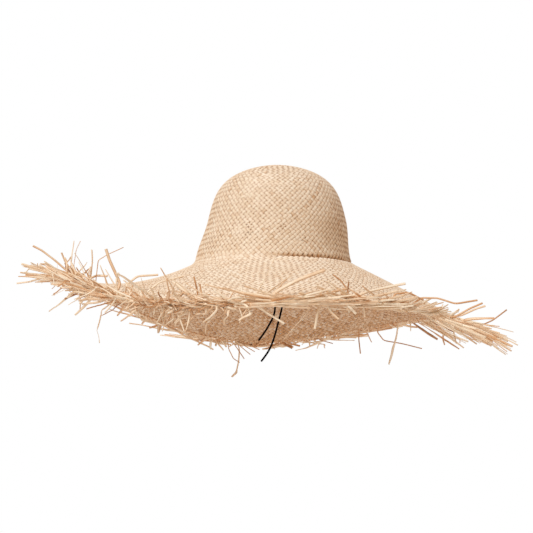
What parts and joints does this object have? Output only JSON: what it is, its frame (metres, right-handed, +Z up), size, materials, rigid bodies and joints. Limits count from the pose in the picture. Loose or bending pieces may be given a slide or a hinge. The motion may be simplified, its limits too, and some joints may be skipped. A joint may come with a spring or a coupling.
{
  "type": "straw sun hat",
  "caption": "Wide-brim woven straw sun hat with a round crown, a wavy brim with a frayed edge, and a cord that adjusts its fit.",
  "frame": {"origin": "centre of the head opening, in the plane where the crown meets the brim", "axes": "+Z up along the crown's axis, -Y the front, +X the side whose brim droops"},
  "size_m": [0.57, 0.4905, 0.2257],
  "materials": {
    "straw": "matte",
    "twining": "satin",
    "frayed_straw": "satin",
    "band_fabric": "matte",
    "thread": "matte",
    "black_cord": "matte"
  },
  "bodies": {
    "hat": {"crown": "straw", "brim": "straw", "edge_twining": "twining", "sweatband": "band_fabric", "sweatband_stitching": "thread", "drawstring": "black_cord", "fringe_right": "frayed_straw", "fringe_back_right": "frayed_straw", "fringe_back": "frayed_straw", "fringe_back_left": "frayed_straw", "fringe_left": "frayed_straw", "fringe_front_left": "frayed_straw", "fringe_front": "frayed_straw", "fringe_front_right": "frayed_straw"},
    "tail_long": {"drawstring_tail_long": "black_cord"},
    "tail_short": {"drawstring_tail_short": "black_cord"}
  },
  "joints": [
    {"name": "tail_long_swing", "type": "hinge", "parent": "hat", "child": "tail_long", "pos_m": [0.017, 0.0991, -0.0008], "axis": [0, 1, 0], "range_deg": [-40, 40]},
    {"name": "tail_short_swing", "type": "hinge", "parent": "hat", "child": "tail_short", "pos_m": [0.0049, 0.1008, -0.0008], "axis": [0, 1, 0], "range_deg": [-40, 40]}
  ]
}
